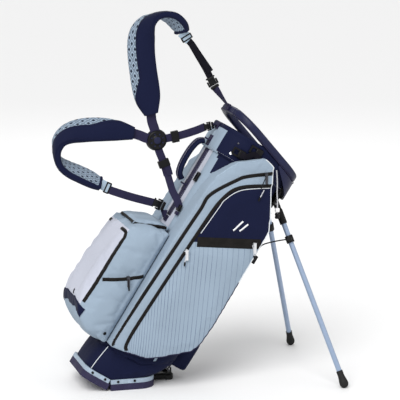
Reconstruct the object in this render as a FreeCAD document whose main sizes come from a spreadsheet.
"""Golf stand bag, standing on its base and two legs.

The room frame has +Z up, +X towards the legs and -Y towards the near garment pocket.  Its origin
is on the ground, under the middle of the base.  The bag leans by "lean" degrees towards +X.
Most pieces are drawn in the bag frame, which is the room frame turned by the lean about Y:
u runs from the spine to the belly, v is the room's Y, and the third axis runs up the tube.
All lengths are millimetres.
"""

import FreeCAD, Part
import math
import os

from FreeCAD import Placement, Rotation, Vector

# ---------------------------------------------------------------- driving sizes

SIZES = {
    "lean": 32,
    "spine_u": -113,
    "belly_u": 118,
    "tube_half": 112,
    "tube_corner": 70,
    "wall": 3,
    "tube_bottom": 90,
    "boot_line": 70,
    "rim": 830,
    "cuff_depth": 9,
    "cuff_bottom": 745,
    "ring_slope": 17.7,
    "ring_crown": 891,
    "ring_spine_u": -124,
    "ring_belly_u": 152,
    "ring_half": 124,
    "ring_bar": 23,
    "ring_height": 24,
    "floor_level": 160,
    "bar_height": 16,
    "bar_wide": 8,
    "rib_wide": 6,
    "sheet_thick": 1.2,
    "pocket_face": 150,
    "ball_half": 112,
    "base_rear_u": -122,
    "base_front": 112,
    "base_half": 106,
    "sole_thick": 20,
    "band_high": 13,
    "band_wide": 12,
    "plate_thick": 10,
    "hinge_x": -28,
    "hinge_z": 26,
    "hinge_pin": 2.5,
    "barrel": 5.4,
    "pin_radius": 4,
    "pin_play": 0.05,
    "rod_radius": 2.5,
    "rod_apart": 28,
    "pivot_level": 705,
    "pivot_u": 140,
    "pivot_v": 58,
    "foot_reach": 643,
    "foot_spread": 254,
    "foot_radius": 13,
    "stow_splay": 2.4,
    "leg_radius": 7.8,
    "leg_wall": 1.2,
    "hub_radius": 32,
    "pad_wide": 80,
    "pad_thick": 20,
    "web_wide": 25,
    "web_thick": 3,
    "clearance": 0.3,
}

doc = FreeCAD.newDocument("golf_stand_bag")
sheet = doc.addObject("Spreadsheet::Sheet", "Sizes")
for row, (alias, value) in enumerate(SIZES.items(), start=1):
    sheet.set(f"A{row}", alias.replace("_", " "))
    sheet.set(f"B{row}", str(value))
    sheet.setAlias(f"B{row}", alias)
doc.recompute()


def size(alias):
    """The value of one cell of the sheet."""
    return float(sheet.get(alias))


LEAN = size("lean")
TILT = Placement(Vector(0, 0, 0), Rotation(Vector(0, 1, 0), LEAN))
GAP = size("clearance")
UPRIGHT = Rotation()
ALONG_X = Rotation(Vector(0, 1, 0), 90)
ALONG_Y = Rotation(Vector(1, 0, 0), -90)

parts = []


def keep(item, label):
    """Name a finished piece and put it on the list of pieces to write."""
    item.Label = label
    parts.append(item)
    return item


# ---------------------------------------------------------------- frames


def in_bag(u, v, level, turn=UPRIGHT):
    """A placement whose place and turn are given in the bag frame."""
    return TILT.multiply(Placement(Vector(u, v, level), turn))


def in_room(x, y, z, turn=UPRIGHT):
    """A placement whose place and turn are given in the room frame."""
    return Placement(Vector(x, y, z), turn)


def bag_point(u, v, level):
    """A bag-frame point in the room frame."""
    return TILT.multVec(Vector(u, v, level))


def to_bag(x, y, z):
    """A room-frame point in the bag frame."""
    return TILT.inverse().multVec(Vector(x, y, z))


# ---------------------------------------------------------------- primitives bound to the sheet


def bind(item, **expressions):
    """Bind properties of a document object to the sheet."""
    for name, expression in expressions.items():
        item.setExpression(name, expression)


def box(label, length, width, height, placement):
    """A box, sizes as sheet expressions, its corner at the placement."""
    item = doc.addObject("Part::Box", label)
    bind(item, Length=length, Width=width, Height=height)
    item.Placement = placement
    return item


def corner_of(length, width, height):
    """From the centre of a box to its corner."""
    return Placement(Vector(-length / 2, -width / 2, -height / 2), UPRIGHT)


def rod(label, radius, height, placement):
    """A cylinder, sizes as sheet expressions, along the placement's Z."""
    item = doc.addObject("Part::Cylinder", label)
    bind(item, Radius=radius, Height=height)
    item.Placement = placement
    return item


def fuse(label, shapes):
    """One solid from several overlapping ones."""
    item = doc.addObject("Part::MultiFuse", label)
    item.Shapes = shapes
    return item


def cut(label, base, tool):
    """A solid less another."""
    item = doc.addObject("Part::Cut", label)
    item.Base = base
    item.Tool = tool
    return item


def group(label, shapes):
    """Separate solids of one kind in one piece."""
    item = doc.addObject("Part::Compound", label)
    item.Links = shapes
    return item


def feature(label, shape, placement=None):
    """A piece whose shape no sketch or primitive fits."""
    item = doc.addObject("Part::Feature", label)
    item.Shape = shape
    if placement is not None:
        item.Placement = placement
    return item


# ---------------------------------------------------------------- sketches


def new_body(label, placement):
    """An empty body at a placement."""
    body = doc.addObject("PartDesign::Body", label)
    body.Placement = placement
    return body


def new_sketch(body, name, plane):
    """A sketch on one of the body's own origin planes."""
    sketch = body.newObject("Sketcher::SketchObject", name)
    face = next(item for item in body.Origin.OriginFeatures if item.Role == plane)
    sketch.AttachmentSupport = [(face, "")]
    sketch.MapMode = "FlatFace"
    return sketch


def draw_closed(sketch, points):
    """A closed outline.  A point given as ("arc", middle, end) is reached by an arc."""
    start = points[0]
    here = start
    for step in list(points[1:]) + [start]:
        if step[0] == "arc":
            middle, end = step[1], step[2]
            curve = Part.Arc(Vector(*here, 0), Vector(*middle, 0), Vector(*end, 0))
            sketch.addGeometry(curve, False)
            here = end
        elif math.dist(here, step) > 1e-6:
            sketch.addGeometry(Part.LineSegment(Vector(*here, 0), Vector(*step, 0)), False)
            here = step


def padded_body(label, outlines, length, placement, plane="XY_Plane", midplane=False):
    """A body with one sketch of closed outlines, padded to a sheet length."""
    body = new_body(label, placement)
    sketch = new_sketch(body, label + "_sketch", plane)
    for outline in outlines:
        draw_closed(sketch, outline)
    pad = body.newObject("PartDesign::Pad", label + "_pad")
    pad.Profile = sketch
    pad.Midplane = midplane
    bind(pad, Length=length)
    return body


def turned_body(label, outline, placement):
    """A body turned about its Z axis from an outline of (radius, height) points."""
    body = new_body(label, placement)
    sketch = new_sketch(body, label + "_sketch", "XZ_Plane")
    draw_closed(sketch, outline)
    turn = body.newObject("PartDesign::Revolution", label + "_turn")
    turn.Profile = sketch
    turn.ReferenceAxis = (sketch, ["V_Axis"])
    turn.Angle = 360
    return body


# ---------------------------------------------------------------- shapes for sewn and sloped pieces


def rounded_rectangle(u_low, u_high, half, corner):
    """The outline of a rounded rectangle, symmetric about v = 0."""
    slant = corner * (1 - math.sqrt(0.5))
    return [
        (u_low + corner, -half),
        (u_high - corner, -half),
        ("arc", (u_high - slant, -half + slant), (u_high, -half + corner)),
        (u_high, half - corner),
        ("arc", (u_high - slant, half - slant), (u_high - corner, half)),
        (u_low + corner, half),
        ("arc", (u_low + slant, half - slant), (u_low, half - corner)),
        (u_low, -half + corner),
        ("arc", (u_low + slant, -half + slant), (u_low + corner, -half)),
    ]


def outline_face(points):
    """A flat face in the XY plane from the same outlines that the sketches use."""
    edges = []
    here = points[0]
    for step in list(points[1:]) + [points[0]]:
        if step[0] == "arc":
            middle, end = step[1], step[2]
            arc = Part.Arc(Vector(*here, 0), Vector(*middle, 0), Vector(*end, 0))
            edges.append(arc.toShape())
            here = end
        elif math.dist(here, step) > 1e-6:
            edges.append(Part.LineSegment(Vector(*here, 0), Vector(*step, 0)).toShape())
            here = step
    return Part.Face(Part.Wire(edges))


def tube_prism(grow, low, high):
    """The tube's outer outline, grown outwards, as a prism from one level to another."""
    outline = rounded_rectangle(
        size("spine_u") - grow,
        size("belly_u") + grow,
        size("tube_half") + grow,
        size("tube_corner") + grow,
    )
    prism = outline_face(outline).extrude(Vector(0, 0, high - low))
    prism.translate(Vector(0, 0, low))
    return prism


def ring_prism(inset, low, high):
    """The top ring's outer outline, drawn in by an inset, as a prism."""
    outline = rounded_rectangle(
        size("ring_spine_u") + inset,
        size("ring_belly_u") - inset,
        size("ring_half") - inset,
        size("tube_corner") + 12 - inset,
    )
    prism = outline_face(outline).extrude(Vector(0, 0, high - low))
    prism.translate(Vector(0, 0, low))
    return prism


def side_prism(points, v_low, v_high):
    """A prism across the bag from an outline of (u, level) points."""
    corners = [Vector(u, v_low, level) for u, level in points]
    face = Part.Face(Part.makePolygon(corners + [corners[0]]))
    return face.extrude(Vector(0, v_high - v_low, 0))


def block(u_low, u_high, v_low, v_high, low, high):
    """A plain block in the bag frame."""
    return Part.makeBox(u_high - u_low, v_high - v_low, high - low, Vector(u_low, v_low, low))


def strip_outline(route, width):
    """The outline of a flat strip that follows a route in one plane."""
    left, right = [], []
    for index, (a, b) in enumerate(route):
        before = route[max(index - 1, 0)]
        after = route[min(index + 1, len(route) - 1)]
        run = math.dist(before, after)
        across = ((after[1] - before[1]) / run, -(after[0] - before[0]) / run)
        left.append((a + across[0] * width / 2, b + across[1] * width / 2))
        right.append((a - across[0] * width / 2, b - across[1] * width / 2))
    return left + right[::-1]


def band(stations, width, thickness):
    """A solid band through (x, y, z, twist, share) stations in the room frame.

    The twist turns the band's width from the XZ plane (0) to the Y direction (90), and the
    share scales the width at that station.
    """
    sections = []
    for index, (x, y, z, twist, share) in enumerate(stations):
        before = Vector(*stations[max(index - 1, 0)][:3])
        after = Vector(*stations[min(index + 1, len(stations) - 1)][:3])
        run = (after - before).normalize()
        level = run.cross(Vector(0, 1, 0)).normalize()
        turn = Rotation(run, twist)
        across = turn.multVec(level) * (width * share / 2)
        through = turn.multVec(Vector(0, 1, 0)) * (thickness / 2)
        centre = Vector(x, y, z)
        bevel = 0.5
        ring = [
            centre + across + through * bevel,
            centre + across * 0.85 + through,
            centre - across * 0.85 + through,
            centre - across + through * bevel,
            centre - across - through * bevel,
            centre - across * 0.85 - through,
            centre + across * 0.85 - through,
            centre + across - through * bevel,
        ]
        sections.append(Part.makePolygon(ring + [ring[0]]))
    return Part.makeLoft(sections, True, True)


def wire_tube(points, radius):
    """A round wire along straight runs joined by tangent arcs."""
    corners = [Vector(*point) for point in points]
    edges = []
    here = corners[0]
    for before, corner, after in zip(corners, corners[1:], corners[2:]):
        into = (corner - before).normalize()
        out = (after - corner).normalize()
        turn = into.getAngle(out)
        reach = 0.45 * min((corner - before).Length, (after - corner).Length)
        start = corner - into * reach
        end = corner + out * reach
        bend = reach / math.tan(turn / 2)
        inward = (out - into).normalize()
        centre = corner + inward * (bend / math.cos(turn / 2))
        middle = centre - inward * bend
        edges.append(Part.LineSegment(here, start).toShape())
        edges.append(Part.Arc(start, middle, end).toShape())
        here = end
    edges.append(Part.LineSegment(here, corners[-1]).toShape())
    path = Part.Wire(edges)
    first = (corners[1] - corners[0]).normalize()
    circle = Part.Wire([Part.makeCircle(radius, corners[0], first)])
    return path.makePipeShell([circle], True, False)


# ---------------------------------------------------------------- levels worked out from the sheet


SLOPE = math.tan(math.radians(size("ring_slope")))
RIM = size("rim")


def ring_top(u):
    """Level of the ring's upper face at u."""
    return size("ring_crown") - SLOPE * (u - size("ring_spine_u"))


def ring_under(u):
    """Level of the ring's lower face at u."""
    return ring_top(u) - size("ring_height")


RIM_TURN_U = size("ring_spine_u") + (size("ring_crown") - size("ring_height") - RIM) / SLOPE
FAR_OUT = 400


def boot_level(u):
    """Level at which the horizontal boot line crosses u."""
    tilt = math.radians(LEAN)
    return (size("boot_line") + u * math.sin(tilt)) / math.cos(tilt)


# Everything between the slanted lower end of the tube and its rim.
BOOT_TURN_U = (size("tube_bottom") * math.cos(math.radians(LEAN)) - size("boot_line")) / math.sin(
    math.radians(LEAN)
)
TUBE_LIMITS = [
    (-FAR_OUT, size("tube_bottom")),
    (BOOT_TURN_U, size("tube_bottom")),
    (FAR_OUT, boot_level(FAR_OUT)),
    (FAR_OUT, ring_under(FAR_OUT)),
    (RIM_TURN_U, RIM),
    (-FAR_OUT, RIM),
]

# ---------------------------------------------------------------- tube

SEAM = 0.3
WALL = size("wall")
PANEL_LOW_U = -78
PANEL_HIGH_U = 83


def tube_wall():
    """The fabric wall of the whole tube, open at both ends."""
    outer = tube_prism(0, 0, 1000)
    inner = tube_prism(-WALL, 0, 1000)
    return outer.cut(inner).common(side_prism(TUBE_LIMITS, -FAR_OUT, FAR_OUT))


def make_tube():
    """Panels sewn into a tube, with its stays and floor.

    Each side panel has a flat middle and two rounded corner strips, with a seam between them.
    """
    wall = tube_wall()
    sectors = {
        "spine_panel": (-FAR_OUT, PANEL_LOW_U),
        "side_panels": (PANEL_LOW_U, PANEL_HIGH_U),
        "belly_panel": (PANEL_HIGH_U, FAR_OUT),
    }
    seams = (size("spine_u") + size("tube_corner"), size("belly_u") - size("tube_corner"))
    for label, (u_low, u_high) in sectors.items():
        shape = wall.common(block(u_low, u_high, -FAR_OUT, FAR_OUT, 0, 1000))
        if label == "side_panels":
            for u in seams:
                shape = shape.cut(block(u - SEAM / 2, u + SEAM / 2, -FAR_OUT, FAR_OUT, 0, 1000))
        keep(feature(label, Part.makeCompound(shape.Solids), TILT), label)

    stay_radius = 4
    inside = size("tube_corner") - WALL - stay_radius - 1
    reach = inside * math.sqrt(0.5)
    stays = []
    spots = []
    for u_side, v_side, low in ((-1, -1, 95), (-1, 1, 95), (1, -1, 165), (1, 1, 165)):
        edge = size("spine_u") if u_side < 0 else size("belly_u")
        u = edge - u_side * size("tube_corner") + u_side * reach
        v = v_side * (size("tube_half") - size("tube_corner") + reach)
        spots.append((u, v))
        stays.append(rod("stay", str(stay_radius), f"Sizes.rim - 50 - {low}", in_bag(u, v, low)))
    keep(group("stay_rods", stays), "stay_rods")

    floor = tube_prism(-WALL, size("floor_level"), size("floor_level") + WALL)
    for u, v in spots:
        floor = floor.cut(Part.makeCylinder(stay_radius + GAP, 2000, Vector(u, v, 0)))
    keep(feature("base_floor", floor.Solids[0], TILT), "base_floor")


def make_dividers():
    """Fourteen club cells: three cross bars, ten ribs between them, and full-length sheets."""
    half_wide = size("bar_wide") / 2
    bar_height = size("bar_height")
    bar_us = (-55, 0, 55)
    half = 107
    bars, sheets = [], []
    for u in bar_us:
        top = min(RIM, ring_under(u)) - 6
        place = in_bag(u - half_wide, -half, top - bar_height)
        bars.append(box("bar", "Sizes.bar_wide", str(2 * half), "Sizes.bar_height", place))
        low = size("floor_level") + WALL + 1
        place = in_bag(u - size("sheet_thick") / 2, -half + 1, low)
        tall = str(top - bar_height - low)
        sheets.append(box("sheet", "Sizes.sheet_thick", str(2 * half - 2), tall, place))
    keep(group("divider_sheets", sheets), "divider_sheets")

    rows = (
        (size("spine_u") + WALL, bar_us[0] - half_wide, (-36, 36)),
        (bar_us[0] + half_wide, bar_us[1] - half_wide, (-54, 0, 54)),
        (bar_us[1] + half_wide, bar_us[2] - half_wide, (-54, 0, 54)),
        (bar_us[2] + half_wide, size("belly_u") - WALL, (-36, 36)),
    )
    ribs = []
    for u_low, u_high, lines in rows:
        top = min(RIM, ring_under(u_high)) - 6
        for v in lines:
            place = in_bag(u_low, v - size("rib_wide") / 2, top - bar_height)
            ribs.append(box("rib", str(u_high - u_low), "Sizes.rib_wide", "Sizes.bar_height", place))
    keep(group("divider_grid", bars + ribs), "divider_grid")


def make_rim():
    """The padded cuff, the moulded ring that rises into the hoop handle, and the hood below it."""
    cuff = tube_prism(size("cuff_depth"), size("cuff_bottom"), 1000)
    cuff = cuff.cut(tube_prism(0, 0, 1100))
    cuff = cuff.common(side_prism(TUBE_LIMITS, -FAR_OUT, FAR_OUT))
    keep(feature("fabric_cuff", cuff.Solids[0], TILT), "fabric_cuff")

    ring = ring_prism(0, 700, 1000).cut(ring_prism(size("ring_bar"), 600, 1100))
    slab = side_prism(
        [
            (-FAR_OUT, ring_under(-FAR_OUT)),
            (FAR_OUT, ring_under(FAR_OUT)),
            (FAR_OUT, ring_top(FAR_OUT)),
            (-FAR_OUT, ring_top(-FAR_OUT)),
        ],
        -FAR_OUT,
        FAR_OUT,
    )
    keep(feature("top_ring", ring.common(slab).Solids[0], TILT), "top_ring")

    hood_wall = 4
    hood = ring_prism(0, 600, 1000).cut(ring_prism(hood_wall, 500, 1100))
    hood_side = side_prism(
        [(62, 800), (153, 722), (160, 722), (160, ring_under(160)), (62, ring_under(62))],
        -FAR_OUT,
        FAR_OUT,
    )
    keep(feature("collar_hood", hood.common(hood_side).Solids[0], TILT), "collar_hood")


# ---------------------------------------------------------------- pockets

GARMENT_OUTLINE = [
    (-112, 104),
    (-112, 480),
    (-104, 640),
    (-96, 690),
    (-62, 752),
    (8, 803),
    (41, 794),
    (70, 735),
    (97, 688),
    (130, 629),
    (132, 600),
    (132, 300),
    (126, 235),
    (112, 204),
    (63, 164),
    (8, 124),
    (-63, 110),
]

BALL_OUTLINE = [
    (-113.3, 98),
    (-187, 107),
    (-219, 126),
    (-241, 155),
    (-247, 215),
    (-245, 300),
    (-233, 397),
    (-226, 440),
    (-113.3, 474),
]

OUTER_ZIP = [(-104, 112), (-110, 156), (-94, 477), (-88, 578), (-85, 631), (-40, 703), (-14, 732), (55, 781)]
INNER_ZIP = [(-63, 116), (-74, 177), (-57, 541), (-46, 639), (-16, 693), (67, 745)]
CHEST_ZIP = [(-40, 496), (126, 579)]
BALL_ZIP = [(-222, 262), (-118, 327)]
ZIP_WIDE = 9
ZIP_THICK = 1.6


def make_pockets():
    """Two garment pockets, the ball pocket and the valuables pocket on its lid."""
    face = size("pocket_face")
    inner = 76
    solid_tube = tube_prism(GAP, 0, 1000).fuse(
        tube_prism(size("cuff_depth") + GAP, size("cuff_bottom") - GAP, 1000)
    )
    near = side_prism(GARMENT_OUTLINE, -face, -inner).cut(solid_tube).Solids[0]
    keep(feature("garment_pocket_near", near, TILT), "garment_pocket_near")
    far = side_prism(GARMENT_OUTLINE, inner, face).cut(solid_tube).Solids[0]
    keep(feature("garment_pocket_far", far, TILT), "garment_pocket_far")

    ball = side_prism(BALL_OUTLINE, -size("ball_half"), size("ball_half"))
    keep(feature("ball_pocket", ball, TILT), "ball_pocket")
    lid = side_prism([(-225, 441), (-222, 452), (-150, 482), (-116, 487), (-116, 474.5)], -82, 82)
    keep(feature("valuables_pocket", lid.Solids[0], TILT), "valuables_pocket")


def zip_strip(route, v_low, v_high):
    """A flat zip track on a side face."""
    return side_prism(strip_outline(route, ZIP_WIDE), v_low, v_high)


def make_zips():
    """Zip tracks on both garment pockets, the chest pocket and the ball pocket."""
    face = size("pocket_face")
    half = size("ball_half")
    routes = (OUTER_ZIP, INNER_ZIP)
    near = [zip_strip(route, -face - ZIP_THICK, -face) for route in routes]
    near.append(zip_strip(BALL_ZIP, -half - ZIP_THICK, -half))
    keep(feature("zip_tracks_near", Part.makeCompound(near), TILT), "zip_tracks_near")
    far = [zip_strip(route, face, face + ZIP_THICK) for route in routes]
    keep(feature("zip_tracks_far", Part.makeCompound(far), TILT), "zip_tracks_far")
    chest = side_prism(strip_outline(CHEST_ZIP, 30), -face - ZIP_THICK, -face)
    keep(feature("chest_zip_band", chest, TILT), "chest_zip_band")


def zip_slider(label, spot, run, track, side):
    """A slider parked on its track, with the pull tab that hangs from it."""
    u, level = spot
    along = Rotation(Vector(0, 1, 0), math.degrees(math.atan2(*run)))
    upright = Rotation(Vector(0, 1, 0), -LEAN)
    long, wide, deep = 10, 10, 6.4
    body_v = side * (track + GAP + deep / 2)
    centre = in_bag(u, body_v, level, along)
    body = box("slider", str(wide), str(deep), str(long), centre.multiply(corner_of(wide, deep, long)))
    tab_wide, tab_deep, tab_long = 8, 2, 30
    tab_v = side * (track + 2 * GAP + deep + tab_deep / 2)
    hang = in_bag(u, tab_v, level, upright).multiply(Placement(Vector(0, 0, 3 - tab_long / 2), UPRIGHT))
    tab_spot = hang.multiply(corner_of(tab_wide, tab_deep, tab_long))
    tab = box("pull", str(tab_wide), str(tab_deep), str(tab_long), tab_spot)
    keep(group(label, [body, tab]), label)


def make_sliders():
    """Sliders at the places where they are parked, with their pull tabs."""
    face = size("pocket_face") + ZIP_THICK
    for side, name in ((-1, "near"), (1, "far")):
        zip_slider(f"zip_slider_outer_{name}", (30, 763), (69, 49), face, side)
        zip_slider(f"zip_slider_inner_{name}", (-61, 455), (17, 364), face, side)
    zip_slider("zip_slider_chest", (110, 571), (176, 88), face, -1)
    zip_slider("zip_slider_ball", (-160, 301), (104, 65), size("ball_half") + ZIP_THICK, -1)


# ---------------------------------------------------------------- base


HINGE = to_bag(size("hinge_x"), 0, size("hinge_z"))
REAR_LEVEL = HINGE.z - size("hinge_z")
CORNER_CUT = 34


def front_outline(inset, start):
    """Plan of the flat front half, from a cut across at x = start to its rounded front."""
    half = size("base_half") - inset
    front = size("base_front") - inset
    shoulder = front - CORNER_CUT - 16
    return [
        (start, -half),
        (shoulder, -half),
        ("arc", (front - 13, -half + 15), (front, -half + CORNER_CUT + 16)),
        (front, half - CORNER_CUT - 16),
        ("arc", (front - 13, half - 15), (shoulder, half)),
        (start, half),
    ]


def rear_outline(inset, end):
    """Section of the raised rear half, from its rounded rear to a cut across at u = end."""
    half = size("base_half") - inset
    rear = size("base_rear_u") + inset
    shoulder = rear + CORNER_CUT
    return [
        (end, half),
        (shoulder, half),
        ("arc", (rear + 10, half - 10), (rear, half - CORNER_CUT)),
        (rear, -half + CORNER_CUT),
        ("arc", (rear + 10, -half + 10), (shoulder, -half)),
        (end, -half),
    ]


def barrel(y, length, place):
    """One knuckle of the base hinge, with its bore, from y for a length."""
    eye = rod("knuckle", "Sizes.barrel", str(length), place(0, y, 0, ALONG_Y))
    bore = rod("knuckle_bore", "Sizes.hinge_pin + Sizes.pin_play", str(length + 2), place(0, y - 1, 0, ALONG_Y))
    return eye, bore


def make_base():
    """The flat front half: sole, band with its rivets, plate with knuckles, pin and lever arm."""
    x, z = size("hinge_x"), size("hinge_z")
    start = x + GAP
    sole = size("sole_thick")
    wide = size("band_wide")
    keep(padded_body("base_sole", [front_outline(0, start)], "Sizes.sole_thick", in_room(0, 0, 0)), "base_sole")

    whole = padded_body("band_whole", [front_outline(0, start)], "Sizes.band_high", in_room(0, 0, sole))
    core = padded_body("band_core", [front_outline(wide, start - 9)], "Sizes.band_high", in_room(0, 0, sole))
    rim = cut("band_rim", whole, core)
    rivet_z = sole + size("band_high") / 2
    half = size("base_half")
    rivets = []
    for spot_x in (-6, 44):
        rivets.append(rod("rivet", "3.2", "1.4", in_room(spot_x, half, rivet_z, ALONG_Y)))
        rivets.append(rod("rivet", "3.2", "1.4", in_room(spot_x, -half - 1.4, rivet_z, ALONG_Y)))
    for y in (-40, 40):
        rivets.append(rod("rivet", "3.2", "1.4", in_room(size("base_front"), y, rivet_z, ALONG_X)))
    keep(fuse("base_band", [rim] + rivets), "base_band")

    reach = size("barrel") + 2 * GAP
    floor = padded_body("plate_floor", [front_outline(wide, x + reach)], "Sizes.plate_thick", in_room(0, 0, sole))
    shapes, bores = [floor], []
    for y in (-84, 50):
        eye, bore = barrel(y, 34, lambda a, b, c, turn: in_room(x + a, b, z + c, turn))
        web = box("knuckle_web", str(reach), "34", f"Sizes.plate_thick - {2 * GAP}", in_room(x, y, sole + 2 * GAP))
        shapes += [eye, web]
        bores.append(bore)
    keep(cut("base_plate", fuse("plate_whole", shapes), group("plate_bores", bores)), "base_plate")
    keep(rod("base_pin", "Sizes.hinge_pin", "168", in_room(x, -84, z, ALONG_Y)), "base_pin")

    front = size("base_front")
    arm = box("arm_bar", "46", "68", "12", in_room(front, -34, 4))
    ears = [box("arm_ear", "60", "7", "22", in_room(front + 4, y, 14)) for y in (-27, 20)]
    fork = box("arm_fork", "52", "80", "30", in_room(front + 8, -40, 20.8))
    keep(cut("lever_arm", fuse("arm_whole", [arm] + ears), fork), "lever_arm")
    tip = padded_body(
        "arm_tip",
        [[(158, -34), (174, -34), ("arc", (181, -24), (182, 0)), ("arc", (181, 24), (174, 34)), (158, 34)]],
        "14",
        in_room(0, 0, 0),
    )
    keep(tip, "arm_tip")


def make_rear_base():
    """The rear half, square to the tube: sole, band, and a plate with knuckles and two posts."""
    sole = size("sole_thick")
    wide = size("band_wide")
    end = HINGE.x - GAP
    band_end = HINGE.x - 5
    reach = size("barrel") + 2 * GAP
    bottom = in_bag(0, 0, REAR_LEVEL)
    top = in_bag(0, 0, REAR_LEVEL + sole)
    keep(padded_body("rear_sole", [rear_outline(0, end)], "Sizes.sole_thick", bottom), "rear_sole")

    whole = padded_body("band_whole", [rear_outline(0, band_end)], "Sizes.band_high", top)
    core = padded_body("band_core", [rear_outline(wide, band_end + 9)], "Sizes.band_high", top)
    keep(cut("rear_band", whole, core), "rear_band")

    floor = padded_body("plate_floor", [rear_outline(wide, HINGE.x - reach)], "Sizes.plate_thick", top)
    eye, bore = barrel(-49, 98, lambda a, b, c, turn: in_bag(HINGE.x + a, b, HINGE.z + c, turn))
    web_spot = in_bag(HINGE.x - reach, -49, REAR_LEVEL + sole + 2 * GAP)
    web = box("knuckle_web", str(reach), "98", f"Sizes.plate_thick - {2 * GAP}", web_spot)
    foot = REAR_LEVEL + sole + size("plate_thick")
    posts = []
    for v in (-78, 70):
        posts.append(box("post", "30", "8", f"Sizes.floor_level - {foot}", in_bag(-80, v, foot)))
    keep(cut("rear_plate", fuse("rear_whole", [floor, eye, web] + posts), bore), "rear_plate")


# ---------------------------------------------------------------- boot skirt


def make_skirt():
    """The soft skirt between the tube's lower end and the base band, as a closed skin."""
    sides = 48
    skin = 2.5
    seam = 3
    u_mid = (size("spine_u") + size("belly_u")) / 2
    u_half = (size("belly_u") - size("spine_u")) / 2
    length = size("base_front") - size("hinge_x") + HINGE.x - size("base_rear_u")
    q_mid = size("base_rear_u") + length / 2
    base_top = size("sole_thick") + size("band_high") + 0.5
    sine, cosine = math.sin(math.radians(LEAN)), math.cos(math.radians(LEAN))
    fold_x = (REAR_LEVEL + base_top - base_top * cosine) / sine
    fold_u = to_bag(fold_x, 0, base_top).x

    def oval(angle, half_a, half_b, power):
        a, b = math.cos(angle), math.sin(angle)
        radius = (abs(a / half_a) ** power + abs(b / half_b) ** power) ** (-1 / power)
        return radius * a, radius * b

    def on_base(q, y):
        """A point just over the band, q being its u with the whole base in one plane."""
        if q < HINGE.x:
            return bag_point(min(q, fold_u), y, REAR_LEVEL + base_top)
        return Vector(max(size("hinge_x") + q - HINGE.x, fold_x + 1), y, base_top)

    def loops(inset):
        top, bottom = [], []
        for step in range(sides):
            angle = math.tau * step / sides
            a, v = oval(angle, u_half - inset, size("tube_half") - inset, 3.4)
            u = u_mid + a
            level = max(size("tube_bottom"), boot_level(u)) - seam
            top.append(bag_point(u, v, level))
            a, y = oval(angle, length / 2 - 5 - inset, size("base_half") - 5 - inset, 3.6)
            bottom.append(on_base(q_mid + a, y))
        return top, bottom

    def skin_between(first, second):
        faces = []
        for here in range(sides):
            after = (here + 1) % sides
            faces.append(triangle(first[here], first[after], second[after]))
            faces.append(triangle(first[here], second[after], second[here]))
        return faces

    def triangle(a, b, c):
        return Part.Face(Part.makePolygon([a, b, c, a]))

    outer_top, outer_bottom = loops(0)
    inner_top, inner_bottom = loops(skin)
    faces = skin_between(outer_bottom, outer_top) + skin_between(inner_bottom, inner_top)
    faces += skin_between(inner_top, outer_top) + skin_between(inner_bottom, outer_bottom)
    solid = Part.Solid(Part.Shell(faces))
    if solid.Volume < 0:
        solid.reverse()
    keep(feature("boot_skirt", solid), "boot_skirt")


# ---------------------------------------------------------------- stand mechanism

ROD_LOW = (127, 112)
ROD_HIGH = (178.4, 545)
ROD_RUN = math.dist(ROD_LOW, ROD_HIGH)
ROD_LEAN = math.degrees(math.atan2(ROD_HIGH[0] - ROD_LOW[0], ROD_HIGH[1] - ROD_LOW[1]))


def make_belly():
    """The hip pad with its rod channel, the wire guide and the leg bracket."""
    pad = side_prism(
        [(118.3, 132), (168, 132), (172, 200), (172, 560), (160, 610), (140, 640), (118.3, 650)],
        -42,
        42,
    )
    channel = side_prism([(100, 100), (134, 100), (187.8, 552), (100, 552)], -19, 19)
    keep(feature("hip_pad", pad.cut(channel).Solids[0], TILT), "hip_pad")

    guide = block(172.3, 188, -30, 30, 515, 541)
    run = Vector(ROD_HIGH[0] - ROD_LOW[0], 0, ROD_HIGH[1] - ROD_LOW[1]).normalize()
    for side in (-1, 1):
        start = Vector(ROD_LOW[0], side * size("rod_apart") / 2, ROD_LOW[1])
        guide = guide.cut(Part.makeCylinder(size("rod_radius") + 0.9, 600, start, run))
    keep(feature("wire_guide", guide.Solids[0], TILT), "wire_guide")


def make_push_rods():
    """Two spring-steel rods joined by the cross pin that the lever arm lifts."""
    turn = Rotation(Vector(0, 1, 0), ROD_LEAN)
    pieces = []
    for side in (-1, 1):
        place = in_bag(ROD_LOW[0], side * size("rod_apart") / 2, ROD_LOW[1], turn)
        pieces.append(rod("push_rod", "Sizes.rod_radius", str(round(ROD_RUN, 2)), place))
    cross = rod("cross_pin", "3", "60", in_bag(ROD_LOW[0], -30, ROD_LOW[1], ALONG_Y))
    keep(fuse("push_rods", pieces + [cross]), "push_rods")


def leg_frame(side):
    """The placement of one leg: origin on its pivot, Z down the leg, X along its pin."""
    pivot = bag_point(size("pivot_u"), side * size("pivot_v"), size("pivot_level"))
    foot = Vector(size("foot_reach"), side * size("foot_spread"), size("foot_radius"))
    along = (foot - pivot).normalize()
    splay = math.radians(size("stow_splay"))
    stowed = TILT.Rotation.multVec(Vector(math.sin(splay), 0, -math.cos(splay)))
    axis = stowed.cross(along).normalize()
    across = along.cross(axis)
    return Placement(pivot, Rotation(axis, across, along, "ZXY")), (foot - pivot).Length


CLAMP_AT = 112


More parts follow.
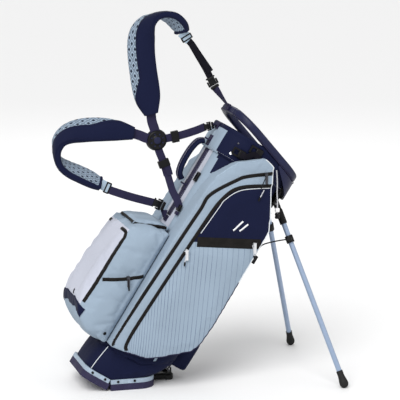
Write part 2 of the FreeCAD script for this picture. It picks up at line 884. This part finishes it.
def make_leg(side, name):
    """One leg: socket on its pin, tube, wire clamp with its knob, and rubber foot."""
    frame, reach = leg_frame(side)

    def spot(x, y, z, turn=UPRIGHT):
        return frame.multiply(Placement(Vector(x, y, z), turn))

    cheek = box("socket_cheek", "16", "18", "31", spot(-8, -9, -9))
    sleeve = rod("socket_sleeve", "11", "44", spot(0, 0, 19))
    whole = fuse("socket_whole", [cheek, sleeve])
    bore = rod("socket_bore", "Sizes.pin_radius + Sizes.pin_play", "40", spot(-20, 0, 0, ALONG_X))
    seat = rod("socket_seat", "Sizes.leg_radius", "60", spot(0, 0, 30))
    hollow = fuse("socket_hollow", [bore, seat])
    keep(cut(f"leg_socket_{name}", whole, hollow), f"leg_socket_{name}")

    tube_length = reach - 30 - 22.05
    outside = rod("tube_outside", "Sizes.leg_radius", str(round(tube_length, 2)), spot(0, 0, 30))
    inside = rod("tube_inside", "Sizes.leg_radius - Sizes.leg_wall", "900", spot(0, 0, 20))
    keep(cut(f"leg_tube_{name}", outside, inside), f"leg_tube_{name}")

    collar = rod("clamp_collar", "12", "22", spot(0, 0, CLAMP_AT - 11))
    knob = rod("clamp_knob", "7", "20", spot(0 if side < 0 else -20, 0, CLAMP_AT, ALONG_X))
    clamp = fuse("clamp_whole", [collar, knob])
    bore = rod("clamp_bore", "Sizes.leg_radius", "60", spot(0, 0, CLAMP_AT - 30))
    keep(cut(f"wire_clamp_{name}", clamp, bore), f"wire_clamp_{name}")

    ball = size("foot_radius")
    neck = 9.6
    tube_radius = size("leg_radius")
    outline = [
        (0, reach - 22),
        (tube_radius, reach - 22),
        (tube_radius, reach - 40),
        (neck, reach - 40),
        (neck, reach - 24),
        (ball, reach - 4),
        (ball, reach),
        ("arc", (ball * math.sqrt(0.5), reach + ball * math.sqrt(0.5)), (0, reach + ball)),
    ]
    keep(turned_body(f"leg_foot_{name}", outline, frame), f"leg_foot_{name}")


def make_leg_bracket():
    """The plate on the belly wall with two ears for each leg, and the pins through them."""
    plate = block(118.6, 123.8, -86, 86, 688, 744)
    pins = []
    whole = plate
    bores = []
    for side in (-1, 1):
        frame, _ = leg_frame(side)
        local = TILT.inverse().multiply(frame)
        axis = local.Rotation.multVec(Vector(1, 0, 0))
        pivot = local.Base
        inward = axis.cross(Vector(0, 0, 1)).normalize()
        if inward.x > 0:
            inward = inward * -1
        up = axis.cross(inward).normalize()
        for offset in (-13, 9):
            corner = pivot + axis * offset + inward * 20 - up * 10
            ear = Part.makeBox(4, 20, 20)
            ear.Placement = Placement(corner, Rotation(axis, inward * -1, up, "XYZ"))
            tip = Part.makeCylinder(10, 4, pivot + axis * offset, axis)
            whole = whole.fuse(ear).fuse(tip)
        bores.append(Part.makeCylinder(size("pin_radius"), 60, pivot - axis * 30, axis))
        pins.append(Part.makeCylinder(size("pin_radius"), 30, pivot - axis * 15, axis))
    for bore in bores:
        whole = whole.cut(bore)
    whole = whole.cut(tube_prism(GAP, 0, 1000))
    keep(feature("leg_bracket", whole.Solids[0], TILT), "leg_bracket")
    keep(feature("leg_pins", Part.makeCompound(pins), TILT), "leg_pins")


def make_leg_wires():
    """The spring wire from the guide to each leg's clamp."""
    for side, name in ((-1, "near"), (1, "far")):
        frame, _ = leg_frame(side)
        clamp = frame.multVec(Vector(0, 0, CLAMP_AT))
        start = bag_point(ROD_HIGH[0] + 1.2, side * size("rod_apart") / 2, ROD_HIGH[1] + 2)
        lift = bag_point(ROD_HIGH[0] + 6, side * (size("rod_apart") / 2 + 2), ROD_HIGH[1] + 32)
        toward = (clamp - lift).normalize()
        end = clamp - toward * 12.8
        wire = wire_tube([start, lift, end], 2)
        keep(feature(f"leg_wire_{name}", wire), f"leg_wire_{name}")


# ---------------------------------------------------------------- spine fittings


def make_spine_fittings():
    """Webbing down the spine, handle tabs, strap tabs, umbrella loop and accessory loops."""
    u = size("spine_u")
    webbing = [box("spine_webbing", "2", "38", "228", in_bag(u - 2.2, -19, 515))]
    for face_u, level in ((u - size("cuff_depth"), 767), (u - 2.2, 617)):
        reach = face_u + 139
        webbing.append(box("handle_tab", str(reach), "24", "6", in_bag(-139, -12, level - 3)))

    crown = ring_top(size("ring_spine_u"))
    webbing += [
        box("crown_tab", "6", "26", "20", in_bag(size("ring_spine_u") - 6.2, -13, crown - 22)),
        box("rim_tab", "6", "26", "20", in_bag(u - size("cuff_depth") - 6.2, -13, 806)),
        box("lower_tab", "6", "26", "18", in_bag(u - 6.2, -13, 494)),
        box("side_tab", "6", "24", "10", in_bag(u - 6.3, -74, 528)),
    ]
    keep(group("sewn_webbing", webbing), "sewn_webbing")

    loop = box("loop_outside", "5", "24", "30", in_bag(u - 5.4, -62, 640))
    hole = box("loop_inside", "9", "14", "20", in_bag(u - 7, -57, 645))
    loops = [cut("umbrella_loop", loop, hole)]

    cuff_face = size("tube_half") + size("cuff_depth")
    for spot_u, level in ((-72, 764), (-28, 794)):
        outside = box("clip_outside", "30", "5", "24", in_bag(spot_u - 15, -cuff_face - 5.3, level))
        inside = box("clip_inside", "20", "9", "14", in_bag(spot_u - 10, -cuff_face - 7, level + 5))
        loops.append(cut("clip", outside, inside))
    loops.append(box("side_loop", "6", "26", "8", in_bag(u - 8, -75, 540)))
    keep(group("moulded_loops", loops), "moulded_loops")


def make_grab_handle():
    """The padded handle on the spine, free to swing to either side."""
    spots = [(-137, 757), (-151, 746), (-158, 722), (-160, 692), (-158, 662), (-151, 638), (-137, 627)]
    stations = []
    for index, (u, level) in enumerate(spots):
        point = bag_point(u, 0, level)
        share = 0.75 if index in (0, len(spots) - 1) else 1
        stations.append((point.x, point.y, point.z, 90, share))
    keep(feature("grab_handle", band(stations, 32, 12)), "grab_handle")


# ---------------------------------------------------------------- harness


UPPER_PAD = [
    (124, 0, 800, -8, 0.5),
    (114, 0, 842, -6, 0.9),
    (107, 0, 880, -5, 1),
    (100, 0, 926, -6, 1),
    (95, 0, 972, -10, 1),
    (94, 0, 1013, -22, 1),
    (99, 0, 1047, -46, 1),
    (116, 0, 1075, -72, 1),
    (146, 0, 1088, -96, 1),
    (182, 0, 1080, -112, 0.95),
    (207, 0, 1058, -120, 0.85),
    (218, 0, 1036, -124, 0.6),
]
LOWER_PAD = [
    (70, 0, 745, 8, 0.5),
    (25, 0, 755, 10, 0.8),
    (-20, 0, 761, 14, 0.95),
    (-77, 0, 762, 26, 1),
    (-122, 0, 755, 48, 1),
    (-152, 0, 735, 70, 1),
    (-161, 0, 704, 90, 1),
    (-150, 0, 671, 108, 1),
    (-124, 0, 650, 120, 0.98),
    (-92, 0, 634, 127, 0.94),
    (-55, 0, 615, 131, 0.85),
    (-28, 0, 600, 134, 0.6),
]
HUB = (141, 722)


def flat(x, z, y=0, share=1):
    """A station of a strap whose width shows in the XZ plane."""
    return (x, y, z, 0, share)


def make_harness():
    """The double shoulder harness: hub, pads, straps and their fittings."""
    x, z = HUB
    rim = size("hub_radius")
    hub_outline = [(0, -10), (rim, -10), (rim, -4), (rim - 6, 8), (0, 8)]
    hub = turned_body("strap_hub", hub_outline, in_room(x, 0, z, ALONG_Y))
    keep(hub, "strap_hub")

    pad_wide, pad_thick = size("pad_wide"), size("pad_thick")
    keep(feature("shoulder_pad_upper", band(UPPER_PAD, pad_wide, pad_thick)), "shoulder_pad_upper")
    keep(feature("shoulder_pad_lower", band(LOWER_PAD, pad_wide * 0.9, pad_thick)), "shoulder_pad_lower")

    wide, thick = size("web_wide"), size("web_thick")
    straps = [
        [flat(246, 1006), flat(268, 968), flat(290, 930), flat(301, 907)],
        [flat(10, 575), flat(60, 557), flat(108, 542), flat(121, 538)],
        [flat(175.5, 727), flat(215, 734), flat(257, 745), flat(279, 753)],
        [flat(148, 688), flat(156, 668), flat(166, 640), flat(172, 622)],
    ]
    webs = [band(route, wide, thick) for route in straps]
    webs.append(band([flat(134, 754.5), flat(126, 780), flat(123.5, 798)], 32, thick))
    webs.append(band([flat(108, 730), flat(90, 738), flat(72.5, 744)], 32, thick))
    keep(feature("harness_straps", Part.makeCompound(webs)), "harness_straps")

    links = []
    for spot_x, spot_z, tilt in ((232, 1021, -30), (-9, 587, -65)):
        place = in_room(spot_x, -2.5, spot_z, Rotation(Vector(0, 1, 0), tilt))
        outer = box("link_outside", "34", "5", "16", place.multiply(Placement(Vector(-17, 0, -8), UPRIGHT)))
        inner = box("link_inside", "26", "9", "8", place.multiply(Placement(Vector(-13, -2, -4), UPRIGHT)))
        links.append(cut("link", outer, inner))

    outline = [(-15, -20), (15, -20), (17, -8), (14, 0), (17, 8), (13, 20)]
    outline += [(-13, 20), (-17, 8), (-14, 0), (-17, -8)]
    buckles = []
    for spot_x, spot_z, tilt, scale in ((311.5, 886, 152, 1), (147, 529.5, 115, 1), (298, 756.5, 84, 0.7)):
        place = in_room(spot_x, 0, spot_z, Rotation(Vector(0, 1, 0), tilt))
        scaled = [(a * scale, b * scale) for a, b in outline]
        buckles.append(padded_body("buckle", [scaled], "10", place, plane="XZ_Plane", midplane=True))
    keep(group("strap_buckles", buckles), "strap_buckles")

    for spot_x, spot_z, tilt in ((196, 730.5, 80), (162, 652, 160)):
        place = in_room(spot_x, 0, spot_z, Rotation(Vector(0, 1, 0), tilt))
        outer = box("lock_outside", "34", "11", "22", place.multiply(corner_of(34, 11, 22)))
        inner = box("lock_inside", "28", "5", "40", place.multiply(corner_of(28, 5, 40)))
        links.append(cut("lock", outer, inner))
    keep(group("strap_sliders", links), "strap_sliders")


def make_end_webs():
    """The last stretch of each strap, from its buckle to the tab sewn on the bag."""
    thick = size("web_thick")
    crown = bag_point(size("ring_spine_u") - 8, 0, ring_top(size("ring_spine_u")) - 8)
    rim = bag_point(size("spine_u") - size("cuff_depth") - 8, 0, 816)
    lower = bag_point(size("spine_u") - 8, 0, 500)
    side = bag_point(size("spine_u") - 5, -62, 552)
    webs = []
    for start, end in (((322, 865), crown), ((315, 758.5), rim), ((166, 507), lower)):
        middle = (start[0] + end.x) / 2, 0, (start[1] + end.z) / 2
        webs.append([(start[0], 0, start[1], 66, 1), (*middle, 78, 1), (end.x, 0, end.z, 88, 1)])
    middle = flat((173 + side.x) / 2 - 3, (619 + side.z) / 2, side.y / 2)
    webs.append([flat(173, 619), middle, flat(side.x, side.z, side.y)])
    shapes = [band(route, 20, thick) for route in webs]
    keep(feature("end_webs", Part.makeCompound(shapes)), "end_webs")


def make_lanyard():
    """The cord that hangs from the collar, with its lock."""
    top = bag_point(60, -size("ring_half") - 4, 790)
    drop = 128
    route = [
        (top.x, top.y, top.z),
        (top.x + 3, top.y - 1, top.z - 34),
        (top.x + 1, top.y - 2, top.z - 68),
        (top.x + 4, top.y - 1, top.z - 98),
        (top.x + 3, top.y, top.z - drop),
    ]
    keep(feature("lanyard", wire_tube(route, 2)), "lanyard")
    end = route[-1]
    lock = rod("cord_lock", "7", "16", in_room(end[0], end[1], end[2] - 16))
    keep(lock, "cord_lock")


make_tube()
make_dividers()
make_rim()
make_pockets()
make_zips()
make_sliders()
make_base()
make_rear_base()
make_skirt()
make_belly()
make_push_rods()
make_leg(-1, "near")
make_leg(1, "far")
make_leg_bracket()
make_leg_wires()
make_spine_fittings()
make_grab_handle()
make_harness()
make_end_webs()
make_lanyard()

# ---------------------------------------------------------------- checks and files

doc.recompute()
faults = []
for item in doc.Objects:
    if "Invalid" in item.State or "Error" in item.State:
        faults.append(f"{item.Label}: {item.State}")
for item in parts:
    if item.Shape.isNull() or not item.Shape.isValid() or item.Shape.Volume <= 0:
        faults.append(f"{item.Label}: the shape is null, invalid or empty")
if faults:
    raise RuntimeError("; ".join(faults))

os.makedirs("parts", exist_ok=True)
for item in parts:
    item.Shape.exportStep(os.path.join("parts", item.Label + ".step"))
print(len(parts), "pieces written")
